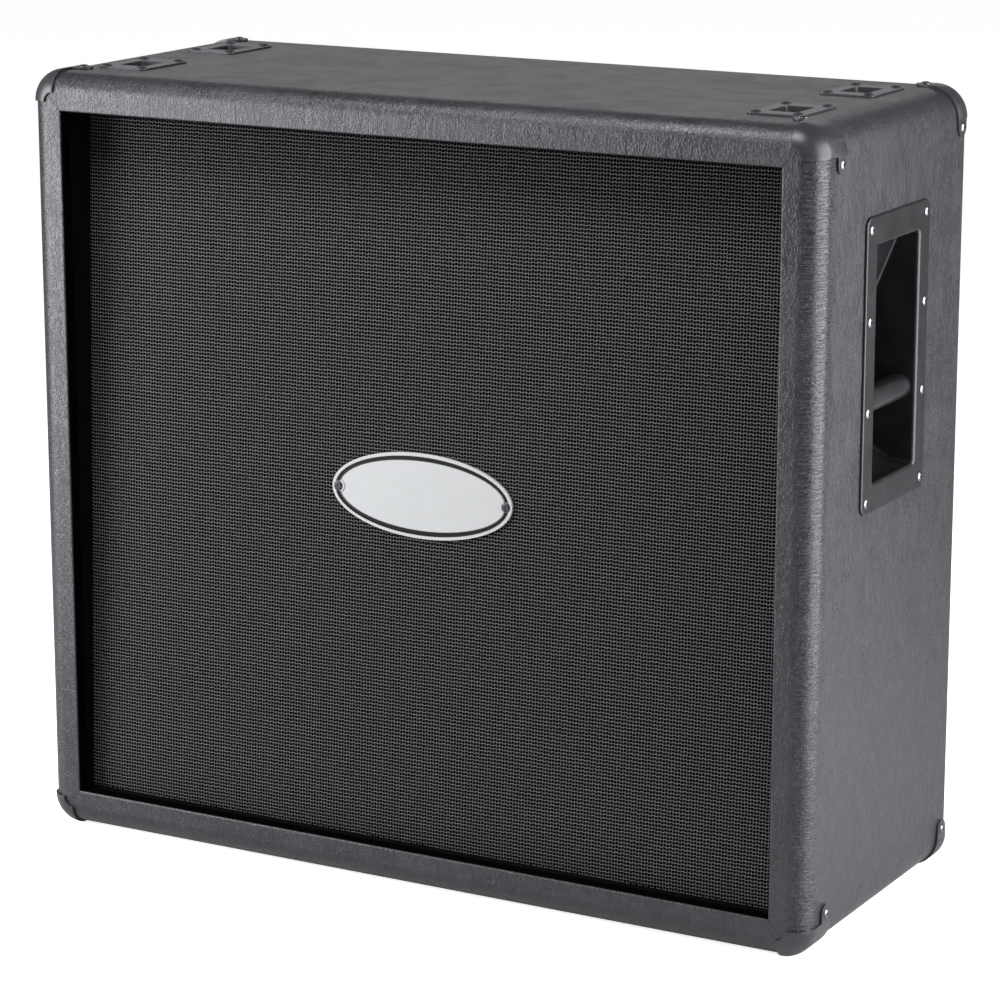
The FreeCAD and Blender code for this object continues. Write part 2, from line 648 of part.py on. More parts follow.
# An upright oval plate in the leaning frame.
def oval(name, inset, start, thick):
    edge = doc.addObject("Part::Ellipse", f"{name}_edge")
    bind(edge, MajorRadius=f"badge_width / 2 - {inset}", MinorRadius=f"badge_height / 2 - {inset}")
    edge.Placement = Placement(Vector(), Rotation(Vector(1, 0, 0), 90))
    put(edge, "0", start, "lean_height / 2")
    plate = doc.addObject("Part::Extrusion", name)
    plate.Base = edge
    plate.DirMode = "Custom"
    plate.Dir = Vector(0, 1, 0)
    plate.Solid = True
    bind(plate, LengthFwd=thick)
    return plate


def badge(front_drills):
    plate = oval("badge_blank", "0", "-badge_thick", "badge_thick")
    field = oval("badge_field", "badge_rim", "-badge_thick - cut_overrun", "badge_relief + cut_overrun")
    pads = []
    for index, side in enumerate((-1, 1)):
        pads.append(rod(f"badge_pad{index}", "badge_head_radius + badge_rim / 2", "badge_thick",
                        f"{side} * badge_screw_x", "-badge_thick", "lean_height / 2"))
    sunk = cut("badge_sunk", plate, field)
    keep(lean(cut("badge_plate", fuse("badge_raised", sunk, *pads), front_drills)), "badge_plate")


# One flank of a corner from its roundover, round the screw and up to the edge, as distances from
# the cabinet's end and below its edge. A front corner reaches further back than a rear one.
def guard_steps(edge_round, lead_in, back, reach):
    drop = "guard_screw_drop"
    return [(edge_round, "-guard_thick"), *lead_in, (f"({back} - guard_tongue_radius)", drop),
            (back, f"({drop} + guard_tongue_radius)", "guard_tongue_radius", 1),
            (f"({back} + guard_tongue_radius)", drop, "guard_tongue_radius", 1),
            (reach, "guard_flank"), (reach, "-guard_thick")]


def front_guard_steps():
    neck = "(guard_screw_back - guard_tongue_radius{})"
    lead_in = [("front_radius", "guard_flank"), (neck.format(" - guard_neck"), "guard_flank"),
               (neck.format(""), "(guard_flank + guard_neck)", "guard_neck", -1)]
    return guard_steps("front_radius", lead_in, "guard_screw_back", "guard_reach")


def rear_guard_steps():
    return guard_steps("rear_radius", [], "guard_rear_back", "guard_rear_reach")


# One corner's shell is the part of a grown skin that lies inside three stamped outlines.
def corner_guards(outer, drills):
    grown = block("guard_block", "guard_thick")
    skin = cut("guard_skin", grown, outer)
    edge_x, edge_z = "(half_w + guard_thick)", "(top_z + guard_thick)"
    near, tip = "(half_w - guard_front)", "(top_z - guard_front)"
    flank = "(guard_flank + guard_thick)"
    ends = (("front_corners", 1, "front_y +", "front_y - guard_thick", "front_radius", front_guard_steps()),
            ("rear_corners", -1, "rear_y -", "rear_y - rear_radius", "rear_radius", rear_guard_steps()))
    for label, turn, end, face_start, edge_round, steps in ends:
        face = prism(f"{label}_face", "XZ_Plane",
                     [(near, edge_z), (near, f"{tip} + guard_notch"),
                      (f"{near} + guard_notch", tip, "guard_notch", -1), (edge_x, tip), (edge_x, edge_z)],
                     face_start, f"{edge_round} + guard_thick")
        side, top = [], []
        for along, below, *arc in steps:
            radius, bend = arc[:1], [turn * way for way in arc[1:]]
            side.append((f"{end} {along}", f"top_z - {below}", *radius, *bend))
            top.append((f"half_w - {below}", f"{end} {along}", *radius, *[-way for way in bend]))
        flank_stamp = prism(f"{label}_flank", "YZ_Plane", side, f"half_w - {flank}", f"{flank} + guard_thick")
        top_stamp = prism(f"{label}_top", "XY_Plane", top, f"top_z - {flank}", f"{flank} + guard_thick")
        stamp = fuse(f"{label}_stamp", face, flank_stamp, top_stamp)
        one = combine("Part::Common", f"{label}_one", skin, stamp)
        low = mirror(f"{label}_low", one, Vector(0, 0, 1), Vector(0, 0, num("mid_z")))
        pair = group(f"{label}_pair", [one, low])
        other = mirror(f"{label}_other", pair, Vector(1, 0, 0))
        keep(cut(label, group(f"{label}_all", [pair, other]), drills), label)


# The dish seen from the front, with depth measured inward from the vinyl, grown by a wall.
def dish_profile(mouth, grow):
    high = f"(handle_z + handle_mouth_height / 2 + {grow})"
    low = f"(handle_z - handle_mouth_height / 2 - {grow})"
    deep = f"(half_w - dish_depth - {grow})"
    bottom = f"(dish_depth - dish_lip + {grow})"
    return [(mouth, low), (mouth, high), ("half_w - dish_roof", high),
            (deep, "handle_z + handle_mouth_height / 2 - dish_slope_drop"),
            (deep, f"{low} + {bottom}"), ("half_w - dish_lip", low, bottom, 1)]


# The handle is drawn on the right side.
def handles(drills):
    half_y, half_z = "handle_plate_depth / 2", "handle_plate_height / 2"
    plate = prism("handle_plate", "YZ_Plane",
                  rounded(f"handle_y - {half_y}", f"handle_y + {half_y}", f"handle_z - {half_z}",
                          f"handle_z + {half_z}", "handle_plate_radius"), "half_w", "handle_plate_thick")
    round_face(plate, "X", "handle_plate_thick", "handle_plate_round")
    width = "handle_mouth_depth"
    cup = prism("handle_cup", "XZ_Plane", dish_profile("half_w", "dish_wall"),
                f"handle_y - {width} / 2 - dish_wall", f"{width} + 2 * dish_wall")
    hollow = prism("handle_hollow", "XZ_Plane", dish_profile("(half_w + cut_overrun)", "0"),
                   f"handle_y - {width} / 2", width)
    round_face(hollow, "Y", "0", "dish_round")
    round_face(hollow, "Y", width, "dish_round")
    open_dish = cut("handle_open", fuse("handle_solid", plate, cup), hollow, drills)
    dish = ease("handle_right", open_dish, "X", "half_w + handle_plate_thick", "Y", "handle_y",
                "handle_mouth_depth / 2", "handle_mouth_round")
    keep(dish, "right_handle_dish")
    keep(mirror("handle_left", dish, Vector(1, 0, 0)), "left_handle_dish")
    grip = rod("grip_right", "grip_radius", width, "half_w - grip_inset", f"handle_y - {width} / 2",
               "handle_z - grip_drop")
    keep(group("grips", [grip, mirror("grip_left", grip, Vector(1, 0, 0))]), "handle_bars")


def top_plates(drills):
    cups = []
    for x, y in plate_centres():
        name = f"plate_{len(cups)}"
        flange = prism(f"{name}_flange", "XY_Plane",
                       rounded(f"{x} - plate_width / 2", f"{x} + plate_width / 2", f"{y} - plate_length / 2",
                               f"{y} + plate_length / 2", "plate_radius"), "top_z", "plate_thick")
        cup = box(f"{name}_cup", f"{x} - plate_mouth_width / 2 - plate_wall",
                  f"{y} - plate_mouth_length / 2 - plate_wall", "top_z - plate_cup_depth - plate_wall",
                  "plate_mouth_width + 2 * plate_wall", "plate_mouth_length + 2 * plate_wall",
                  "plate_cup_depth + plate_wall")
        mouth = prism(f"{name}_mouth", "XY_Plane",
                      rounded(f"{x} - plate_mouth_width / 2", f"{x} + plate_mouth_width / 2",
                              f"{y} - plate_mouth_length / 2", f"{y} + plate_mouth_length / 2",
                              "plate_mouth_radius"),
                      "top_z - plate_cup_depth", "plate_cup_depth + plate_thick + cut_overrun")
        cups.append(cut(name, fuse(f"{name}_solid", flange, cup), mouth, drills))
    keep(group("plates", cups), "top_plates")


def jack_dish(drills):
    wide, tall = "jack_mouth_width", "jack_mouth_height"
    flange = prism("jack_flange", "XZ_Plane",
                   rounded("-jack_plate_width / 2", "jack_plate_width / 2", "jack_z - jack_plate_height / 2",
                           "jack_z + jack_plate_height / 2", "jack_plate_radius"),
                   "rear_out", "jack_plate_thick")
    cup = box("jack_cup", f"-{wide} / 2 - jack_wall", "jack_inside_y", f"jack_z - {tall} / 2 - jack_wall",
              f"{wide} + 2 * jack_wall", "jack_cup_depth + jack_wall", f"{tall} + 2 * jack_wall")
    mouth = box("jack_mouth", f"-{wide} / 2", "jack_floor_y", f"jack_z - {tall} / 2", wide,
                "jack_cup_depth + jack_plate_thick + cut_overrun", tall)
    holes, sockets, nuts = [], [], []
    for side in (-1, 1):
        x = f"({side} * jack_pitch / 2)"
        name = f"jack_{len(sockets)}"
        holes.append(rod(f"{name}_hole", "jack_bush_radius + jack_fit", "jack_wall + 2 * cut_overrun",
                         x, "jack_inside_y - cut_overrun", "jack_z"))
        body = box(f"{name}_body", f"{x} - jack_body_width / 2", "jack_inside_y - jack_body_length",
                   "jack_z - jack_body_height / 2", "jack_body_width", "jack_body_length", "jack_body_height")
        bush = rod(f"{name}_bush", "jack_bush_radius", "jack_bush_length", x, "jack_inside_y", "jack_z")
        bore = rod(f"{name}_bore", "jack_bore_radius", "jack_body_length + jack_bush_length",
                   x, "jack_inside_y - jack_body_length + jack_wall", "jack_z")
        sockets.append(cut(name, fuse(f"{name}_solid", body, bush), bore))
        ring = rod(f"{name}_ring", "jack_nut_radius", "jack_nut_thick", x, "jack_floor_y", "jack_z")
        ring_hole = rod(f"{name}_ring_hole", "jack_bush_radius + jack_fit", "jack_cup_depth",
                        x, "jack_inside_y", "jack_z")
        nuts.append(cut(f"{name}_nut", ring, ring_hole))
    blank = fuse("jack_solid", flange, cup)
    keep(cut("jack_dish", blank, mouth, group("jack_holes", holes), drills), "jack_dish")
    keep(group("jack_pair", sockets), "jack_sockets")
    keep(group("jack_nut_pair", nuts), "jack_nuts")


def socket_centres():
    return [(f"{side} * socket_x", f"{end} * (cab_depth / 2 - socket_from_end)")
            for side in (-1, 1) for end in (-1, 1)]


def stem_sockets():
    sockets = []
    for x, y in socket_centres():
        name = f"socket_{len(sockets)}"
        tube = rod(f"{name}_tube", "socket_tube_radius", "socket_length", x, y, "base_z", laid=False)
        flange = rod(f"{name}_flange", "socket_flange_radius", "socket_flange_thick", x, y,
                     "base_z - socket_flange_thick", laid=False)
        bore = rod(f"{name}_bore", "socket_bore_radius", "socket_length + cut_overrun", x, y,
                   "base_z - socket_flange_thick - cut_overrun", laid=False)
        sockets.append(cut(name, fuse(f"{name}_solid", tube, flange), bore))
    keep(group("sockets", sockets), "caster_sockets")


def socket_clearance():
    holes = [rod(f"socket_hole{index}", "socket_tube_radius + socket_fit", "panel_thick + 2 * cut_overrun",
                 x, y, "base_z - cut_overrun", laid=False) for index, (x, y) in enumerate(socket_centres())]
    return group("socket_clearance", holes)


def dish_clearance():
    room = "(dish_wall + dish_clearance)"
    return box("dish_hole", "-half_w - cut_overrun", f"handle_y - handle_mouth_depth / 2 - {room}",
               f"handle_z - handle_mouth_height / 2 - {room}", "cab_width + 2 * cut_overrun",
               f"handle_mouth_depth + 2 * {room}", f"handle_mouth_height + 2 * {room}")


def plate_clearance():
    room = "(plate_wall + socket_fit)"
    holes = []
    for x, y in plate_centres():
        holes.append(box(f"plate_hole{len(holes)}", f"{x} - plate_mouth_width / 2 - {room}",
                         f"{y} - plate_mouth_length / 2 - {room}",
                         "ceil_z - cut_overrun", f"plate_mouth_width + 2 * {room}",
                         f"plate_mouth_length + 2 * {room}", "panel_thick + vinyl_thick + 2 * cut_overrun"))
    return group("plate_clearance", holes)


def jack_clearance():
    room = "(jack_wall + socket_fit)"
    return box("jack_clearance", f"-jack_mouth_width / 2 - {room}", "rear_in - cut_overrun",
               f"jack_z - jack_mouth_height / 2 - {room}", f"jack_mouth_width + 2 * {room}",
               "rear_thick + 2 * cut_overrun", f"jack_mouth_height + 2 * {room}")


# Loudspeaker outlines give radius and depth behind the baffle.
def basket_form():
    seat = "(gasket_thick + paper_thick)"
    wall = "sheet_thick"
    rim, neck = "surround_rim_radius + surround_seat_gap", f"ledge_inner_radius + {wall}"
    body = turned("basket_form", [
        ("flange_radius", "gasket_thick"), (rim, "gasket_thick"), (rim, seat),
        ("skirt_radius", seat), ("skirt_radius", "skirt_depth"),
        ("ledge_radius", f"ledge_depth - 2 * {wall}"), ("ledge_radius", "ledge_depth"),
        ("ledge_inner_radius", "ledge_depth"), ("ledge_inner_radius", f"front_plate_depth - {wall}"),
        ("neck_radius", f"front_plate_depth - {wall}"), ("neck_radius", "front_plate_depth"),
        (neck, "front_plate_depth"), (neck, f"ledge_depth + {wall}"),
        (f"ledge_radius + {wall}", f"ledge_depth + {wall}"),
        (f"ledge_radius + {wall}", f"ledge_depth - {wall}"),
        (f"skirt_radius + {wall}", f"skirt_depth + {wall} / 2"),
        (f"skirt_radius + {wall}", f"{seat} + {wall}"), ("flange_radius", f"{seat} + {wall}")])
    doc.recompute()
    whole = body.Shape.Volume
    window = outline(body, "basket_window", "XZ_Plane", [
        ("-window_inner_half", "window_inner_radius"), ("-window_outer_half", "window_outer_radius"),
        ("window_outer_half", "window_outer_radius"), ("window_inner_half", "window_inner_radius")])
    pocket = body.newObject("PartDesign::Pocket", "basket_pocket")
    pocket.Profile = window
    pocket.Type = "ThroughAll"
    axis = next(item for item in body.Origin.OriginFeatures if item.Role == "Y_Axis")
    pattern = body.newObject("PartDesign::PolarPattern", "basket_windows")
    pattern.Originals = [pocket]
    pattern.Axis = (axis, [""])
    pattern.Angle = 360
    pattern.Occurrences = WINDOWS
    body.Tip = pattern
    doc.recompute()
    if body.Shape.Volume >= whole:
        raise ValueError("the basket's windows cut nothing")
    return body


def speaker_forms():
    rim = "gasket_thick"
    paper = "paper_thick"
    fold = "((speaker_hole_radius - surround_seat_gap - cone_radius) / 4)"
    front = [("cone_radius", "cone_rim_depth")]
    for step in (1, 2, 3):
        level = f"{rim} + {paper} - surround_rise / 2" if step % 2 else f"{rim} + surround_rise"
        front.append((f"cone_radius + {step} * {fold}", level))
    front.append((f"cone_radius + 4 * {fold}", rim))
    front.append(("surround_rim_radius", rim))
    surround = front + [(x, f"{y} + {paper}") for x, y in reversed(front)]

    former = "former_radius"
    waves = [(former, "ledge_depth - paper_thick")]
    step = f"((ledge_inner_radius - {former}) / {2 * SPIDER_WAVES + 2})"
    for index in range(1, 2 * SPIDER_WAVES + 2):
        swing = "+" if index % 2 else "-"
        waves.append((f"{former} + {index} * {step}", f"ledge_depth - paper_thick {swing} spider_wave"))
    waves.append(("ledge_inner_radius", "ledge_depth - paper_thick"))
    waves.append(("ledge_radius - surround_seat_gap", "ledge_depth - paper_thick"))
    spider = waves + [(x, f"{y} + paper_thick") for x, y in reversed(waves)]

    slope = "((cone_apex_depth - cone_rim_depth) / (cone_radius - former_radius))"
    cap_rim = f"(cone_apex_depth - (cap_radius - former_radius) * {slope} - {paper})"
    dome = "((cap_radius * cap_radius + cap_rise * cap_rise) / (2 * cap_rise))"
    return {
        "gasket": turned("gasket_form", [
            ("speaker_hole_radius", "0"), ("flange_radius", "0"),
            ("flange_radius", "gasket_thick"), ("speaker_hole_radius", "gasket_thick")]),
        "basket": basket_form(),
        "front_plate": turned("front_plate_form", [
            ("gap_radius", "front_plate_depth"), ("front_plate_radius", "front_plate_depth"),
            ("front_plate_radius", "magnet_depth"), ("gap_radius", "magnet_depth")]),
        "magnet": turned("magnet_form", [
            ("magnet_hole_radius", "magnet_depth"), ("magnet_radius", "magnet_depth"),
            ("magnet_radius", "yoke_depth"), ("magnet_hole_radius", "yoke_depth")]),
        "yoke": turned("yoke_form", [
            ("0", "front_plate_depth"), ("pole_radius", "front_plate_depth"), ("pole_radius", "yoke_depth"),
            ("yoke_radius", "yoke_depth"), ("yoke_radius", "yoke_depth + yoke_thick"),
            ("0", "yoke_depth + yoke_thick")]),
        "cone": turned("cone_form", [
            (former, "cone_apex_depth"), ("cone_radius", "cone_rim_depth"),
            ("cone_radius", f"cone_rim_depth + {paper}"), (former, f"cone_apex_depth + 2 * {paper}")]),
        "surround": turned("surround_form", surround),
        "spider": turned("spider_form", spider),
        "voice_coil": turned("coil_form", [
            (f"{former} - former_thick", "former_start"), (former, "former_start"), (former, "winding_start"),
            (f"{former} + winding_thick", "winding_start"), (f"{former} + winding_thick", "winding_end"),
            (former, "winding_end"), (former, "former_end"),
            (f"{former} - former_thick", "former_end")]),
        "dust_cap": turned("cap_form", [
            ("cap_radius", f"{cap_rim} + {paper}"), ("0", f"{cap_rim} - cap_rise + {paper}", dome, -1),
            ("0", f"{cap_rim} - cap_rise"), ("cap_radius", cap_rim, dome, 1)]),
    }


def tag_form():
    neck = rod("tag_neck", "ledge_inner_radius + sheet_thick", "2 * ledge_depth")
    board = box("tag_board", "-tag_width / 2", "ledge_depth + sheet_thick + tag_setback",
                "ledge_inner_radius - tag_length", "tag_width", "tag_thick", "2 * tag_length + sheet_thick")
    return cut("tag_form", board, neck)


def speakers():
    forms = speaker_forms()
    forms["basket"] = cut_for_screws("basket", forms["basket"])
    forms["gasket"] = cut_for_screws("gasket", forms["gasket"])
    forms["tag"] = tag_form()
    fixed = {"basket": "speaker_baskets", "gasket": "speaker_gaskets", "front_plate": "speaker_front_plates",
             "magnet": "speaker_magnets", "yoke": "speaker_yokes", "tag": "speaker_tag_boards"}
    for part, form in forms.items():
        copies = []
        for number, (x, up) in enumerate(speaker_centres(), start=1):
            copies.append(lean(group(f"{part}_{number}", [form]), x, "mount_y", up))
        if part in fixed:
            keep(group(f"all_{part}", copies), fixed[part])
            continue
        for number, copy in enumerate(copies, start=1):
            keep(copy, f"{part}_{number}")


def cut_for_screws(name, form):
    holes = []
    for index, angle in enumerate(SPEAKER_SCREW_ANGLES):
        holes.append(rod(f"{name}_screw_hole{index}", "screw_shank_radius + screw_fit", "2 * skirt_depth",
                         f"speaker_screw_radius * cos({angle})", "-skirt_depth",
                         f"speaker_screw_radius * sin({angle})"))
    return cut(f"{name}_drilled", form, group(f"{name}_screw_holes", holes))


def screws():
    head = ("screw_head_radius", "screw_head_height", "screw_shank_radius")
    short = screw_form("short_screw", *head, "screw_length")
    long = screw_form("long_screw", *head, "long_screw_length")
    small = screw_form("small_screw", "badge_head_radius", "badge_head_height", "badge_shank_radius",
                       "badge_shank_length")
    doc.recompute()
    upright = (("corner_screws", short, corner_spots()), ("handle_screws", short, handle_spots()),
               ("top_plate_screws", short, plate_spots()), ("rear_panel_screws", long, rear_spots()),
               ("jack_dish_screws", short, jack_spots()))
    for label, form, spots in upright:
        keep(solid(label, at_spots(form.Shape, spots)), label)
    leaning = (("baffle_screws", long, baffle_spots()), ("badge_screws", small, badge_spots()),
               ("speaker_screws", short, speaker_spots()))
    for label, form, spots in leaning:
        keep(lean(solid(label, at_spots(form.Shape, spots))), label)


# A lead of straight runs joined by tangent arcs.
def lead(points):
    bend = num("lead_bend")
    edges = []
    start = points[0]
    for before, corner, after in zip(points, points[1:], points[2:]):
        into, away = (corner - before).normalize(), (after - corner).normalize()
        half = into.getAngle(away) / 2
        trim = bend * math.tan(half)
        first, last = corner - into * trim, corner + away * trim
        inward = (away - into).normalize()
        middle = corner + inward * (bend / math.cos(half) - bend)
        edges.append(Part.LineSegment(start, first).toShape())
        edges.append(Part.Arc(first, middle, last).toShape())
        start = last
    edges.append(Part.LineSegment(start, points[-1]).toShape())
    path = Part.Wire(edges)
    radius = num("lead_radius")
    ring = Part.Wire([Part.makeCircle(radius, points[0], (points[1] - points[0]).normalize())])
    tube = path.makePipeShell([ring], True, False)
    section = math.pi * radius ** 2
    if not math.isclose(tube.Volume, section * path.Length, rel_tol=LEAD_VOLUME_SHARE):
        raise ValueError("a lead's volume differs from its section times its length")
    return tube


def leaned(x, back, up):
    lean_cos, lean_sin = num("lean_cos"), num("lean_sin")
    return Vector(x, num("lean_y") + back * lean_cos + up * lean_sin,
                  num("strip_low") - back * lean_sin + up * lean_cos)


# Each loudspeaker's leads rise from its tag board past the magnet, run back, cross to the jack on
# their side and come down on its body, each in a lane of its own.
def leads():
    gap = num("lead_spacing / 2")
    back = num("mount_y + ledge_depth + sheet_thick + tag_setback + tag_thick / 2")
    tag_end = num("ledge_inner_radius + sheet_thick + tag_length + screw_fit")
    rise = num("magnet_radius + lead_bend")
    jack_top = num("jack_z + jack_body_height / 2 + screw_fit")
    for colour, across in (("red", -1), ("black", 1)):
        tubes = []
        for number, (x, up) in enumerate(speaker_centres()):
            level = 1 if number < 2 else -1
            side = 1 if number % 2 else -1
            start = leaned(num(x) + across * gap, back, num(up) + tag_end)
            bend = leaned(num(x) + across * gap, back, num(up) + rise)
            lane = num("jack_inside_y - jack_body_length / 2") + (level + side * across / 2) * gap
            jack_x = side * num("jack_pitch / 2") + across * gap
            tubes.append(lead([start, bend, Vector(bend.x, lane, bend.z),
                               Vector(jack_x, lane, jack_top + num("2 * lead_bend")),
                               Vector(jack_x, lane, jack_top)]))
        keep(solid(f"leads_{colour}", Part.Compound(tubes)), f"leads_{colour}")


def write_parts():
    doc.recompute()
    for item in doc.Objects:
        if "Invalid" in item.State or "Error" in item.State:
            raise ValueError(f"{item.Label} failed")
    for item in nodes:
        if item.Shape.isNull() or not item.Shape.isValid():
            raise ValueError(f"{item.Label} has no sound shape")
    os.makedirs("parts", exist_ok=True)
    for item in nodes:
        item.Shape.exportStep(f"parts/{item.Label}.step")


def main():
    fill_sheet()
    short = (corner_spots(), handle_spots(), plate_spots(), jack_spots())
    holes = [drill("screw_shank_radius", "screw_length", spots) for spots in short]
    holes.append(drill("screw_shank_radius", "long_screw_length", rear_spots()))
    drills = solid("drills", Part.Compound(holes))
    front_holes = [drill("screw_shank_radius", "long_screw_length", baffle_spots()),
                   drill("screw_shank_radius", "screw_length", speaker_spots()),
                   drill("badge_shank_radius", "badge_shank_length", badge_spots())]
    front_drills = solid("front_drills", Part.Compound(front_holes))
    leaning_drills = lean(solid("leaning_drills", Part.Compound(front_holes)))
    dish_hole, plate_holes, socket_holes = dish_clearance(), plate_clearance(), socket_clearance()
    outer = block("outer_block", "0")
    wood = shell(drills, dish_hole, plate_holes, socket_holes)
    vinyl(outer, wood, drills, dish_hole, plate_holes, socket_holes)
    front_strips(wood, leaning_drills)
    grille(front_drills)
    baffle(front_drills)
    rear_wall(drills, jack_clearance())
    badge(front_drills)
    corner_guards(outer, drills)
    handles(drills)
    top_plates(drills)
    jack_dish(drills)
    stem_sockets()
    speakers()
    screws()
    leads()
    write_parts()


main()
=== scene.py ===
import json
import math

import bmesh
import bpy
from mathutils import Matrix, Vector


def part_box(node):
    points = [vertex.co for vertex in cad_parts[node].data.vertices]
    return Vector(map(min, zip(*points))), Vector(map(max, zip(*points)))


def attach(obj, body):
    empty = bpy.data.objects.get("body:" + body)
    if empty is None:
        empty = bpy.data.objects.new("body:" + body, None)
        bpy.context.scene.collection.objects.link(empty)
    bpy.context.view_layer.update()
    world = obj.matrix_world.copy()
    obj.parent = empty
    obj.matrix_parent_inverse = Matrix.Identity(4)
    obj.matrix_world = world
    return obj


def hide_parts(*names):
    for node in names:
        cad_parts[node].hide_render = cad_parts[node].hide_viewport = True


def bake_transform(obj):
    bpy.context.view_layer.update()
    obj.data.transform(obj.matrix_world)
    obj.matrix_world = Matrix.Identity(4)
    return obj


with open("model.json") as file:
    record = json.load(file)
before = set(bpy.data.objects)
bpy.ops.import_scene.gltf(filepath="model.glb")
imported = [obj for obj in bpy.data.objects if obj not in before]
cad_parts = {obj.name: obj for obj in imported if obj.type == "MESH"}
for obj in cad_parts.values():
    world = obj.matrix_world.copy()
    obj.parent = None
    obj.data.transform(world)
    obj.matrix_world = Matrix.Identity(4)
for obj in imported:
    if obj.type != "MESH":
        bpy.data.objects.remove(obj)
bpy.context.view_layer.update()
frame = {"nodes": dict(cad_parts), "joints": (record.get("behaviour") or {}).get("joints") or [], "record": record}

nodes = frame["nodes"]
scene = bpy.context.scene
grilleLean = math.radians(2)     # the grille leans back
print("frame loaded:", len(nodes), "nodes")


# a socket that can be used in sums
class Wire:
    def __init__(self, paint, socket):
        self.paint = paint
        self.socket = socket

    def calc(self, operation, *values):
        return self.paint.add("ShaderNodeMath", {"operation": operation}, dict(enumerate(values)))

    def __add__(self, other):
        return self.calc("ADD", self, other)

    def __radd__(self, other):
        return self.calc("ADD", other, self)

    def __sub__(self, other):
        return self.calc("SUBTRACT", self, other)

    def __rsub__(self, other):
        return self.calc("SUBTRACT", other, self)

    def __mul__(self, other):
        return self.calc("MULTIPLY", self, other)

    def __rmul__(self, other):
        return self.calc("MULTIPLY", other, self)

    def __truediv__(self, other):
        return self.calc("DIVIDE", self, other)

    def __rtruediv__(self, other):
        return self.calc("DIVIDE", other, self)

    def __gt__(self, other):
        return self.calc("GREATER_THAN", self, other)

    def __lt__(self, other):
        return self.calc("LESS_THAN", self, other)

    def __abs__(self):
        return self.calc("ABSOLUTE", self)

    def most(self, other):
        return self.calc("MAXIMUM", self, other)

    def fract(self):
        return self.calc("FRACT", self)

    def squared(self):
        return self * self

    # 1 on every second whole number, else 0
    def odd(self):
        return (self.calc("FLOOR", self) * 0.5).fract() * 2

    # 0 below low, 1 above high, soft between
    def step(self, low, high):
        return self.paint.add("ShaderNodeMapRange", {"interpolation_type": "SMOOTHSTEP"},
                              {"Value": self, "From Min": low, "From Max": high})

    # 0 along the middle value of a noise, 1 away from it
    def ridge(self, width):
        return abs(self - 0.5).step(0, width)


# one material, its shader and the place on the object in metres
class Paint:
    def __init__(self, name):
        self.material = bpy.data.materials.new(name)
        self.material.use_nodes = True
        self.tree = self.material.node_tree
        self.shader = self.tree.nodes["Principled BSDF"]
        self.place = self.add("ShaderNodeTexCoord", output="Object")

    def join(self, socket, value):
        if isinstance(value, Wire):
            self.tree.links.new(value.socket, socket)
        elif socket.type == "RGBA" and len(value) == 3:
            socket.default_value = (*value, 1)
        else:
            socket.default_value = value

    # any node: its settings first, then its sockets
    def add(self, kind, settings=None, sockets=None, output=0):
        node = self.tree.nodes.new(kind)
        for key, value in (settings or {}).items():
            setattr(node, key, value)
        for key, value in (sockets or {}).items():
            self.join(node.inputs[key], value)
        return Wire(self, node.outputs[output])

    def axes(self):
        split = self.add("ShaderNodeSeparateXYZ", sockets={0: self.place}).socket.node
        return [Wire(self, output) for output in split.outputs]

    def stretched(self, x, y, z):
        return self.add("ShaderNodeVectorMath", {"operation": "MULTIPLY"}, {0: self.place, 1: (x, y, z)})

    def noise(self, scale, detail=2, rough=0.5, twist=0, vector=None):
        return self.add("ShaderNodeTexNoise", sockets={
            "Vector": vector or self.place, "Scale": scale, "Detail": detail,
            "Roughness": rough, "Distortion": twist})

    # 0 on the lines between cells
    def cells(self, scale, vector):
        return self.add("ShaderNodeTexVoronoi", {"feature": "DISTANCE_TO_EDGE"},
                        {"Vector": vector, "Scale": scale})

    def mix(self, share, first, second):
        return self.add("ShaderNodeMix", {"data_type": "RGBA"}, {0: share, 6: first, 7: second}, 2)

    def bump(self, height, depth, strength):
        return self.add("ShaderNodeBump", sockets={"Strength": strength, "Distance": depth, "Height": height})

    # a dull dark shader over the glossy one where the mask is 1: painted shade
    def shadeOver(self, mask, colour):
        dull = self.add("ShaderNodeBsdfDiffuse", sockets={"Color": colour})
        glossy = Wire(self, self.shader.outputs[0])
        both = self.add("ShaderNodeMixShader", sockets={0: mask, 1: glossy, 2: dull})
        self.tree.links.new(both.socket, self.tree.nodes["Material Output"].inputs["Surface"])

    def finish(self, **sockets):
        for key, value in sockets.items():
            self.join(self.shader.inputs[key.replace("_", " ")], value)
        return self.material


print("shader helpers ready")

# the whole covering: fine leather grain, soft wrinkles and cloudy gloss, with painted shade in its creases and
# grooves and painted highlight on its raised streaks
vinylLook = {"dark": (0.010, 0.0105, 0.0115), "light": (0.025, 0.026, 0.028), "shadeRange": (0.25, 1.10),
             "drift": 60, "driftReach": 0.006, "driftStretch": (1, 1, 0.6), "grainStretch": (1, 1, 0.55),
             "pebbles": 640, "pebbleGap": (0.02, 0.36), "pebbleShade": 0.20, "pebbleHeight": 0.06,
             "wrinkles": 300, "wrinkleWidth": 0.12, "wrinkleShade": 0.35, "wrinkleHeight": 0.14,
             "streaks": (150, 150, 38), "streakRange": (0.35, 0.75),
             "streakShade": 0.25, "streakHeight": 0.16,
             "clouds": 24, "cloudRange": (0.3, 0.7), "cloudShade": 0.55, "cloudRough": 0.14,
             "rough": 0.25, "gapRough": 0.06, "bump": 0.001, "bumpStrength": 0.8}
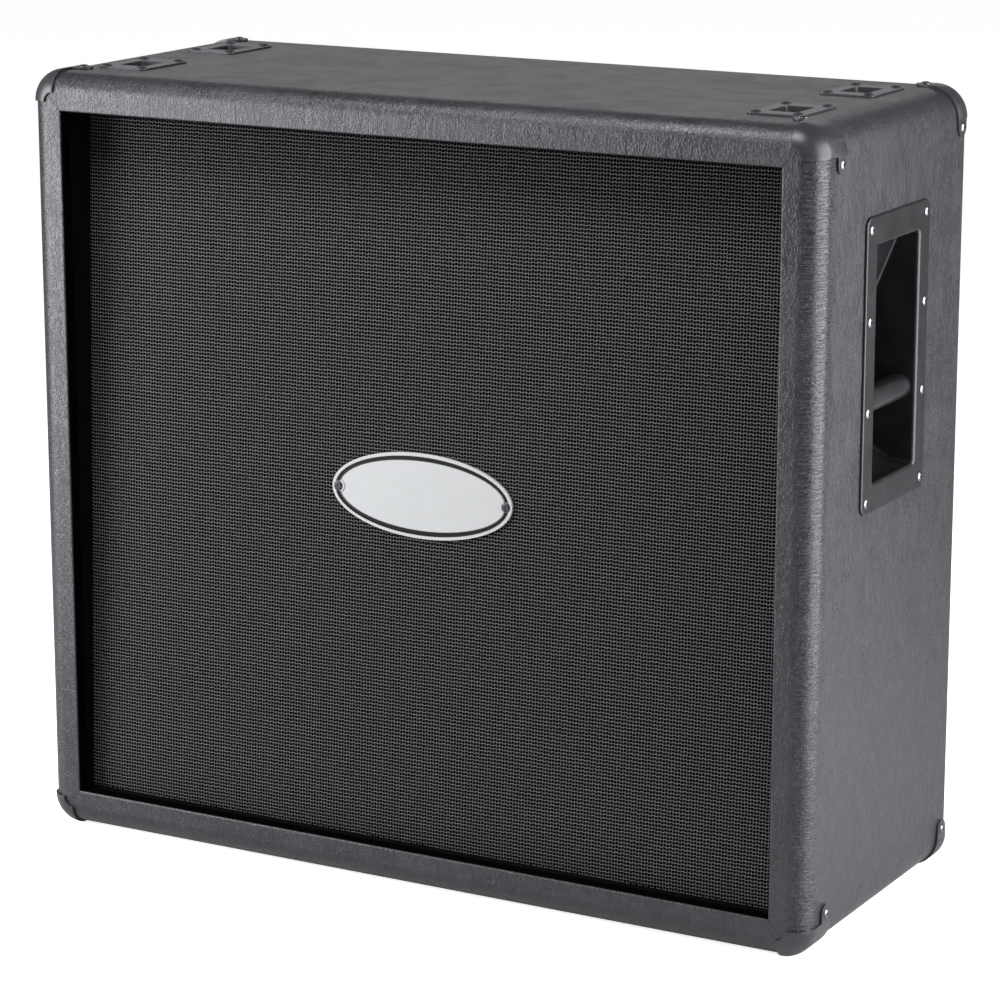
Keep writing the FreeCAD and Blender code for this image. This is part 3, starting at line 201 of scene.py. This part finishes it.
# where it is wrapped: folds pulled round the upright front edges, mitred joints, painted shade inside the frame
wrapLook = {"edgeWide": (0.020, 0.008), "edgeDeep": (0.036, 0.018), "folds": (80, 80, 620), "foldWidth": 0.16,
            "foldHeight": 0.36, "pulledFlat": 0.6, "pulledShine": 0.35, "frame": 0.034,
            "seam": (0.010, 0.010, 0.011), "seamFrom": 0.00016, "seamTo": 0.00056, "seamDeep": 0.015,
            "seamPast": 0.001, "seamHeight": 0.35,
            "inner": (0.0012, 0.0012, 0.0013), "innerFade": (0.0003, 0.0016), "innerDeep": 0.1}


def vinylPaint(name, wrapped):
    p = Paint(name)
    look = vinylLook
    drift = p.add("ShaderNodeTexNoise", output=1, sockets={
        "Vector": p.stretched(*look["driftStretch"]), "Scale": look["drift"], "Detail": 2})
    shift = p.add("ShaderNodeVectorMath", {"operation": "SCALE"}, {0: drift, "Scale": look["driftReach"]})
    pushed = p.add("ShaderNodeVectorMath", {"operation": "ADD"},
                   {0: p.stretched(*look["grainStretch"]), 1: shift})
    crease = p.cells(look["pebbles"], pushed).step(*look["pebbleGap"])
    wrinkle = p.noise(look["wrinkles"], rough=0.55, twist=0.8, vector=pushed).ridge(look["wrinkleWidth"])
    streak = p.noise(1, detail=3, rough=0.6, twist=0.6, vector=p.stretched(*look["streaks"]))
    streak = streak.step(*look["streakRange"])
    cloudy = p.noise(look["clouds"], detail=5, rough=0.65, twist=0.6)
    # painted shade and highlight: creases and wrinkle grooves darker, raised streaks lighter, following the bump;
    # the clouds are random tone
    shade = crease * look["pebbleShade"] + wrinkle * look["wrinkleShade"] + streak * look["streakShade"]
    shade = (shade + cloudy * look["cloudShade"]).step(*look["shadeRange"])
    colour = p.mix(shade, look["dark"], look["light"])
    height = crease * look["pebbleHeight"] + wrinkle * look["wrinkleHeight"] + streak * look["streakHeight"]
    gloss = look["rough"] + cloudy.step(*look["cloudRange"]) * look["cloudRough"]
    gloss = gloss + (1 - crease) * look["gapRough"]
    if wrapped:
        colour, height, gloss = wrapPaint(p, colour, height, gloss)
    return p.finish(Base_Color=colour, Roughness=gloss,
                    Normal=p.bump(height, look["bump"], look["bumpStrength"]))


def wrapPaint(p, colour, height, gloss):
    look = wrapLook
    low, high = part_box("vinyl_covering")
    x, y, z = p.axes()
    edge = abs(x).step(*(high.x - inset for inset in look["edgeWide"]))
    edge = edge * (0 - y).step(*(-low.y - inset for inset in look["edgeDeep"]))
    fold = p.noise(1, twist=0.7, vector=p.stretched(*look["folds"])).ridge(look["foldWidth"])
    height = height * (1 - edge * look["pulledFlat"]) + fold * edge * look["foldHeight"]
    gloss = gloss * (1 - edge * look["pulledShine"])     # pulled tight, so smoother
    across = abs(x) - (high.x - look["frame"])     # distances out from the frame's inner edges
    up = abs(z - (low.z + high.z) / 2) - ((high.z - low.z) / 2 - look["frame"])
    seam = 1 - abs(across - up).step(look["seamFrom"], look["seamTo"])
    seam = seam * (y < low.y + look["seamDeep"]) * (across > -look["seamPast"]) * (up > -look["seamPast"])
    colour = p.mix(seam, colour, look["seam"])
    height = height - seam * look["seamHeight"]
    # painted shade: the covering inside the frame's opening is made near black, as the recess is in shade
    inside = 1 - across.most(up).step(*look["innerFade"])
    p.shadeOver(inside * (y < low.y + look["innerDeep"]), look["inner"])
    return colour, height, gloss


# bare birch ply inside, painted black in front of the grille; that black is darker than paint, partly painted
# shade of the deep recess
plyLook = {"pale": (0.60, 0.44, 0.28), "deep": (0.40, 0.27, 0.15), "black": (0.0010, 0.0010, 0.0011),
           "worn": (0.0022, 0.0022, 0.0023), "behindCloth": 0.0112, "grain": 9, "grainStretch": (1.5, 6, 22),
           "grainShade": 0.8, "layersDeep": 430, "layersWide": 190, "layerShade": 0.3,
           "brush": 240, "brushStretch": (1, 1, 0.08), "brushRough": 0.2, "brushHeight": 0.4,
           "rough": 0.8, "specular": 0.04, "bump": 0.0003, "bumpStrength": 0.4}


def plyPaint(name):
    p = Paint(name)
    look = plyLook
    x, y, z = p.axes()
    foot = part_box("grille_cloth")[0]
    grain = p.noise(look["grain"], detail=5, rough=0.6, twist=0.4, vector=p.stretched(*look["grainStretch"]))
    layer = (y * look["layersDeep"] + x * look["layersWide"]).fract() - 0.5
    wood = p.mix(grain * look["grainShade"] + abs(layer) * look["layerShade"], look["deep"], look["pale"])
    # black paint in front of the grille, darkened further as painted shade of the recess
    painted = y < (z - foot.z) * math.tan(grilleLean) + (foot.y + look["behindCloth"])
    brush = p.noise(look["brush"], vector=p.stretched(*look["brushStretch"]))
    colour = p.mix(painted, wood, p.mix(brush, look["black"], look["worn"]))
    height = grain + brush * look["brushHeight"]
    return p.finish(Base_Color=colour, Roughness=look["rough"] + brush * look["brushRough"],
                    Specular_IOR_Level=look["specular"],
                    Normal=p.bump(height, look["bump"], look["bumpStrength"]))


# woven speaker cloth: rounded holes in a grid, the cross threads lighter, and painted shade where they pass under
clothLook = {"across": 0.00284, "up": 0.00316,
             "thread": (0.134, 0.135, 0.136), "hole": (0.0010, 0.0010, 0.0011),
             "holeWide": 0.41, "holeHigh": 0.39, "holeEdge": (0.7, 1.5), "sway": 0.06, "step": 0.12,
             "waverAcross": 60, "waverUp": 50, "waver": 0.5, "crossEdge": (0.26, 0.44), "underShade": 0.45,
             "yarnShade": 0.42, "crossShade": 0.34, "fuzz": 420, "fuzzShade": 0.9,
             "rough": 0.8, "specular": 0.0, "bump": 0.0006, "bumpStrength": 0.4}


def clothPaint(name):
    p = Paint(name)
    look = clothLook
    x, _, z = p.axes()
    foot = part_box("grille_cloth")[0]
    u = x / look["across"] + (p.noise(look["waverAcross"], detail=3) - 0.5) * look["waver"]
    v = (z - foot.z) / look["up"] + (p.noise(look["waverUp"], detail=3) - 0.5) * look["waver"]
    oddRow, oddColumn = v.odd(), u.odd()
    inU = (u + (oddRow - 0.5) * look["sway"]).fract() - 0.5     # 0 in the middle of a hole
    inV = (v + (oddColumn - 0.5) * look["step"]).fract() - 0.5
    wide = (inU / look["holeWide"]).squared()
    high = (inV / look["holeHigh"]).squared()
    yarn = (wide.squared() + high.squared()).step(*look["holeEdge"])
    # painted shade: the cross threads are darker where they pass under
    over = 1 - abs(oddRow - oddColumn) * look["underShade"]
    cross = abs(inV).step(*look["crossEdge"]) * over
    fuzz = p.noise(look["fuzz"], detail=3, rough=0.7) - 0.5
    shade = yarn * (look["yarnShade"] + cross * look["crossShade"] + fuzz * look["fuzzShade"])
    return p.finish(Base_Color=p.mix(shade, look["hole"], look["thread"]), Roughness=look["rough"],
                    Specular_IOR_Level=look["specular"],
                    Normal=p.bump(shade, look["bump"], look["bumpStrength"]))


# mouldings, paint and insulation: a fine speckle under uneven wear
plasticLook = {"speckle": 1600, "wear": 45, "wearRange": (0.3, 0.75), "wearRough": 0.10, "speckleRough": 0.04,
               "bumpStrength": 0.35}


def plasticPaint(name, dark, light, rough, depth):
    p = Paint(name)
    look = plasticLook
    speckle = p.noise(look["speckle"], rough=0.6)
    wear = p.noise(look["wear"], detail=4, rough=0.6)
    return p.finish(Base_Color=p.mix(wear.step(*look["wearRange"]), dark, light),
                    Roughness=rough + wear * look["wearRough"] + speckle * look["speckleRough"],
                    Normal=p.bump(speckle, depth, look["bumpStrength"]))


# plated and drawn metal: brush marks under soft clouds
metalLook = {"brush": 700, "clouds": 90, "brushShade": 0.4, "cloudShade": 0.6, "brushRough": 0.12,
             "bump": 0.00005, "bumpStrength": 0.25}


def metalPaint(name, dark, light, rough, stretch=(1, 1, 1)):
    p = Paint(name)
    look = metalLook
    brush = p.noise(look["brush"], detail=3, rough=0.6, vector=p.stretched(*stretch))
    cloud = p.noise(look["clouds"], detail=3)
    return p.finish(Base_Color=p.mix(cloud * look["cloudShade"] + brush * look["brushShade"], dark, light),
                    Metallic=1.0, Roughness=rough + brush * look["brushRough"],
                    Normal=p.bump(brush, look["bump"], look["bumpStrength"]))


# pressed paper, felt and dipped cloth: matted strands with blotches
fibreLook = {"blotchSize": 14, "strandShade": 0.6, "blotchShade": 0.4, "rough": 0.72, "strandRough": 0.15,
             "specular": 0.25, "bumpStrength": 0.5}


def fibrePaint(name, dark, light, scale, depth):
    p = Paint(name)
    look = fibreLook
    strands = p.noise(scale, detail=4, rough=0.65, twist=1.2)
    blotch = p.noise(scale / look["blotchSize"])
    shade = strands * look["strandShade"] + blotch * look["blotchShade"]
    return p.finish(Base_Color=p.mix(shade, dark, light), Specular_IOR_Level=look["specular"],
                    Roughness=look["rough"] + strands * look["strandRough"],
                    Normal=p.bump(strands, depth, look["bumpStrength"]))


# plain white oval with a dark line inside its rim
badgeLook = {"white": (0.385, 0.385, 0.38), "aged": (0.355, 0.355, 0.35), "line": (0.002, 0.002, 0.002),
             "lineFrom": 0.0029, "fromFade": (0.985, 1.015), "lineTo": 0.0070, "toFade": (0.97, 1.03),
             "screwIn": 0.0060, "padRadius": 0.0041, "padFade": 1.12, "clouds": 70, "rough": 0.30,
             "cloudRough": 0.1, "specular": 0.15, "ripple": 900, "bump": 0.00004, "bumpStrength": 0.3}


def badgePaint(name):
    p = Paint(name)
    look = badgeLook
    low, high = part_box("badge_plate")
    x, _, z = p.axes()
    up = z - (low.z + high.z) / 2

    def oval(inset):
        wide = high.x - inset
        tall = (high.z - low.z) / 2 - inset
        return (x / wide).squared() + (up / tall).squared()

    screw = abs(x) - (high.x - look["screwIn"])
    pad = look["padRadius"]
    clear = (screw.squared() + up.squared()).step(pad ** 2, (pad * look["padFade"]) ** 2)
    line = 1 - oval(look["lineFrom"]).step(*look["fromFade"])
    line = line * oval(look["lineTo"]).step(*look["toFade"]) * clear
    cloud = p.noise(look["clouds"], detail=3)
    colour = p.mix(line, p.mix(cloud, look["white"], look["aged"]), look["line"])
    return p.finish(Base_Color=colour, Roughness=look["rough"] + cloud * look["cloudRough"],
                    Specular_IOR_Level=look["specular"],
                    Normal=p.bump(p.noise(look["ripple"]), look["bump"], look["bumpStrength"]))


# each finish: dark and light colour, roughness or strand scale, depth or stretch
plastics = {
    "dark_screw": ("blackScrew", (0.010, 0.010, 0.011), (0.020, 0.020, 0.022), 0.34, 0.00003),
    "corner_plastic": ("cornerMoulding", (0.014, 0.015, 0.016), (0.024, 0.025, 0.027), 0.30, 0.00005),
    "handle_plastic": ("handleMoulding", (0.005, 0.005, 0.006), (0.010, 0.010, 0.011), 0.24, 0.00003),
    "black_steel": ("blackSteel", (0.030, 0.030, 0.032), (0.046, 0.046, 0.048), 0.28, 0.00005),
    "jack_plastic": ("jackMoulding", (0.010, 0.010, 0.010), (0.020, 0.020, 0.020), 0.45, 0.00004),
    "basket_paint": ("basketPaint", (0.030, 0.030, 0.033), (0.050, 0.050, 0.054), 0.42, 0.00006),
    "lead_red": ("redLead", (0.36, 0.014, 0.014), (0.50, 0.024, 0.022), 0.36, 0.00003),
    "lead_black": ("blackLead", (0.010, 0.010, 0.010), (0.022, 0.022, 0.022), 0.36, 0.00003),
}
metals = {
    "nickel": ("brightNickel", (0.15, 0.15, 0.15), (0.24, 0.24, 0.24), 0.20),
    "zinc": ("zincPlate", (0.50, 0.51, 0.52), (0.68, 0.69, 0.70), 0.30, (1, 1, 6)),
    "coil": ("copperWinding", (0.48, 0.25, 0.13), (0.72, 0.42, 0.24), 0.28, (1, 30, 1)),
}
fibres = {
    "gasket": ("pressedFibre", (0.035, 0.030, 0.025), (0.080, 0.072, 0.062), 900, 0.0002),
    "ferrite": ("bareFerrite", (0.022, 0.022, 0.024), (0.055, 0.055, 0.058), 1400, 0.0001),
    "paper": ("conePaper", (0.030, 0.027, 0.024), (0.070, 0.064, 0.058), 700, 0.0002),
    "surround_cloth": ("dopedCloth", (0.016, 0.016, 0.016), (0.042, 0.041, 0.040), 1500, 0.0001),
    "spider_cloth": ("dippedCloth", (0.36, 0.25, 0.10), (0.56, 0.42, 0.20), 1500, 0.0001),
}
paints = {"vinyl": vinylPaint("vinyl", True), "covered_board": vinylPaint("rearVinyl", False),
          "plywood": plyPaint("birchPly"), "cloth": clothPaint("speakerCloth"),
          "badge": badgePaint("whiteOval")}
for makePaint, finishes in ((plasticPaint, plastics), (metalPaint, metals), (fibrePaint, fibres)):
    for slot, finish in finishes.items():
        paints[slot] = makePaint(*finish)
print("finishes made:", len(paints))

# every solid takes its slot's finish
for part in frame["record"]["subparts"]:
    solid = nodes[part["node"]]
    solid.data.materials.clear()
    solid.data.materials.append(paints[part["material_slot"]])
    solid.data.polygons.foreach_set("material_index", [0] * len(solid.data.polygons))

# moulded, pressed and turned pieces lose their knife edges: the width of each
easedEdges = {"front_corners": 0.0007, "rear_corners": 0.0007,
              "left_handle_dish": 0.0006, "right_handle_dish": 0.0006,
              "top_plates": 0.0005, "badge_plate": 0.0004, "jack_dish": 0.0005, "rear_panel": 0.0012,
              "corner_screws": 0.0003, "handle_screws": 0.0003, "top_plate_screws": 0.0003,
              "rear_panel_screws": 0.0003, "jack_dish_screws": 0.0003, "badge_screws": 0.0002,
              "jack_nuts": 0.0003, "caster_sockets": 0.0004}
easeCut = {"weld": 0.00001, "flatWithin": math.radians(0.6), "sharpOver": math.radians(38), "segments": 2}


def easeEdges(name, width):
    solid = nodes[name]
    weld = solid.modifiers.new("weld", "WELD")
    weld.merge_threshold = easeCut["weld"]
    flat = solid.modifiers.new("flat", "DECIMATE")
    flat.decimate_type = "DISSOLVE"
    flat.angle_limit = easeCut["flatWithin"]
    ease = solid.modifiers.new("ease", "BEVEL")
    ease.width = width
    ease.segments = easeCut["segments"]
    ease.limit_method = "ANGLE"
    ease.angle_limit = easeCut["sharpOver"]
    ease.harden_normals = False


for name, width in easedEdges.items():
    easeEdges(name, width)
print("edges eased:", len(easedEdges))


# a smooth mesh becomes an object with its finish
def addPiece(name, mesh, slot):
    data = bpy.data.meshes.new(name)
    mesh.to_mesh(data)
    mesh.free()
    data.polygons.foreach_set("use_smooth", [True] * len(data.polygons))
    data.materials.append(paints[slot])
    piece = bpy.data.objects.new(name, data)
    scene.collection.objects.link(piece)
    return piece


# the grille cloth, pulled flat over its frame and turned back over the edge
clothCut = {"columns": 48, "rows": 46, "turn": 0.0008}


def makeCloth():
    low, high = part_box("grille_cloth")
    columns, rows = clothCut["columns"], clothCut["rows"]
    length = (high.z - low.z) / math.cos(grilleLean)
    width = high.x - low.x
    mesh = bmesh.new()
    grid = []
    for r in range(rows + 1):
        line = []
        for c in range(columns + 1):
            along = length * r / rows
            x = low.x + width * c / columns
            back = clothCut["turn"] if min(c, columns - c, r, rows - r) == 0 else 0
            y = low.y + along * math.sin(grilleLean) + back
            line.append(mesh.verts.new((x, y, low.z + along * math.cos(grilleLean))))
        grid.append(line)
    for below, above in zip(grid, grid[1:]):
        for c in range(columns):
            mesh.faces.new((below[c], below[c + 1], above[c + 1], above[c]))
    cloth = addPiece("grilleCloth", mesh, "cloth")
    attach(cloth, "cabinet")
    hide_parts("grille_cloth")


makeCloth()
print("grille cloth stretched")

# the cones' flexible rings: the cloth roll at the rim and the corrugated ring behind, held by the basket
# outside and carried by the cone inside; radii, and depths along the loudspeaker's axis
flexCut = {"speakers": 4, "turns": 72, "thick": 0.0007}
flexRings = {
    "surround": {"outer": 0.1475, "seat": 0.1412, "inner": 0.1282, "held": 0.0030, "carried": 0.0053,
                 "middle": 0.00437, "waves": 2, "wave": 0.0010, "steps": 20, "slot": "surround_cloth"},
    "spider": {"outer": 0.0658, "seat": 0.0544, "inner": 0.0226, "held": 0.0743, "carried": 0.0766,
               "middle": 0.07467, "waves": 4, "wave": 0.0010, "steps": 40, "slot": "spider_cloth"},
}


# radius and depth of the ring's front face, from its rim to the cone
def flexProfile(cut):
    profile = [(cut["outer"], cut["held"])]
    for step in range(cut["steps"] + 1):
        share = step / cut["steps"]
        ramp = share * share * (3 - 2 * share)
        ripple = math.sin(share * math.pi * 2 * cut["waves"]) * cut["wave"] * math.sin(math.pi * share) ** 0.5
        profile.append((cut["seat"] + (cut["inner"] - cut["seat"]) * share,
                        cut["held"] + (cut["carried"] - cut["held"]) * ramp + ripple))
    return profile


def makeFlex(kind, number):
    cut = flexRings[kind]
    node = f"{kind}_{number}"
    cone = f"cone_body_{number}"
    low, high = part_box(node)
    forward = next(joint for joint in frame["joints"] if joint["child"] == cone)["axis"]
    back = -Vector(forward).normalized()
    up = back.cross(Vector((-1, 0, 0))).normalized()
    middle = (low + high) / 2 - back * cut["middle"]
    front = flexProfile(cut)
    ring = front + [(radius, depth + flexCut["thick"]) for radius, depth in reversed(front)]
    mesh = bmesh.new()
    rows = []
    for turn in range(flexCut["turns"]):
        angle = 2 * math.pi * turn / flexCut["turns"]
        out = Vector((1, 0, 0)) * math.cos(angle) + up * math.sin(angle)
        rows.append([mesh.verts.new(middle + out * radius + back * depth) for radius, depth in ring])
    for turn, row in enumerate(rows):
        after = rows[(turn + 1) % len(rows)]
        for i in range(len(ring)):
            j = (i + 1) % len(ring)
            mesh.faces.new((row[i], row[j], after[j], after[i]))
    bmesh.ops.recalc_face_normals(mesh, faces=mesh.faces)
    piece = addPiece(f"{kind}Ring{number}", mesh, cut["slot"])
    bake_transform(piece)
    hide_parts(node)


for number in range(1, flexCut["speakers"] + 1):
    for kind in flexRings:
        makeFlex(kind, number)
print("cone rings made:", flexCut["speakers"] * len(flexRings))

# pale floor, soft boxes and the camera; the floor looks lighter than the light that it throws back
studio = {"floorHalf": 40, "floorColour": (0.88, 0.88, 0.88), "floorBounce": (0.54, 0.54, 0.54),
          "floorRough": 0.9, "seen": (0.80, 0.80, 0.80), "lit": (0.10, 0.10, 0.10), "world": 0.20,
          "tint": (0.94, 0.96, 1.0), "aimHeight": 0.345}
lights = [
    {"name": "leftBox", "azimuth": -48, "elevation": 9, "distance": 1.8, "size": (0.9, 1.3), "power": 43},
    {"name": "rightBox", "azimuth": 95, "elevation": 8, "distance": 1.05, "size": (0.95, 1.1), "power": 23},
    {"name": "topBox", "azimuth": -8, "elevation": 58, "distance": 2.3, "size": (1.5, 0.9), "power": 54},
    {"name": "rearBox", "azimuth": 206, "elevation": 28, "distance": 2.6, "size": (2.0, 0.7), "power": 4},
]
shot = {"yaw": 29.2134, "pitch": 13.6426, "lens": 130.325, "sensor": 36, "reach": 200,
        "place": (1.52881, -2.71614, 1.07480)}


# the way from the cabinet towards a lamp or the camera
def aimed(azimuth, elevation):
    a, e = math.radians(azimuth), math.radians(elevation)
    return Vector((math.sin(a) * math.cos(e), -math.cos(a) * math.cos(e), math.sin(e)))


def makeFloor():
    half = studio["floorHalf"]
    data = bpy.data.meshes.new("floor")
    corners = [(-half, -half, 0), (half, -half, 0), (half, half, 0), (-half, half, 0)]
    data.from_pydata(corners, [], [(0, 1, 2, 3)])
    floor = bpy.data.objects.new("floor", data)
    scene.collection.objects.link(floor)
    p = Paint("paleFloor")
    direct = p.add("ShaderNodeLightPath", output="Is Camera Ray")
    data.materials.append(p.finish(Base_Color=p.mix(direct, studio["floorBounce"], studio["floorColour"]),
                                   Roughness=studio["floorRough"], Emission_Strength=1.0,
                                   Emission_Color=p.mix(direct, studio["lit"], studio["seen"])))


def makeLights():
    world = bpy.data.worlds.new("studio")
    scene.world = world
    world.use_nodes = True
    sky = world.node_tree.nodes["Background"]
    sky.inputs["Color"].default_value = (1, 1, 1, 1)
    sky.inputs["Strength"].default_value = studio["world"]
    middle = Vector((0, 0, studio["aimHeight"]))
    for box in lights:
        lamp = bpy.data.lights.new(box["name"], "AREA")
        lamp.shape = "RECTANGLE"
        lamp.size, lamp.size_y = box["size"]
        lamp.energy = box["power"]
        lamp.color = studio["tint"]
        holder = bpy.data.objects.new(box["name"], lamp)
        toward = aimed(box["azimuth"], box["elevation"])
        holder.location = middle + toward * box["distance"]
        holder.rotation_euler = (-toward).to_track_quat("-Z", "Y").to_euler()
        holder.visible_camera = False
        scene.collection.objects.link(holder)


def makeCamera():
    lens = bpy.data.cameras.new("camera")
    lens.lens = shot["lens"]
    lens.sensor_width = shot["sensor"]
    lens.clip_end = shot["reach"]
    camera = bpy.data.objects.new("camera", lens)
    camera.location = shot["place"]
    camera.rotation_euler = (-aimed(shot["yaw"], shot["pitch"])).to_track_quat("-Z", "Y").to_euler()
    scene.collection.objects.link(camera)
    scene.camera = camera
    scene.view_settings.view_transform = "Standard"


makeFloor()
makeLights()
makeCamera()
print("stage set:", len(lights), "lights")
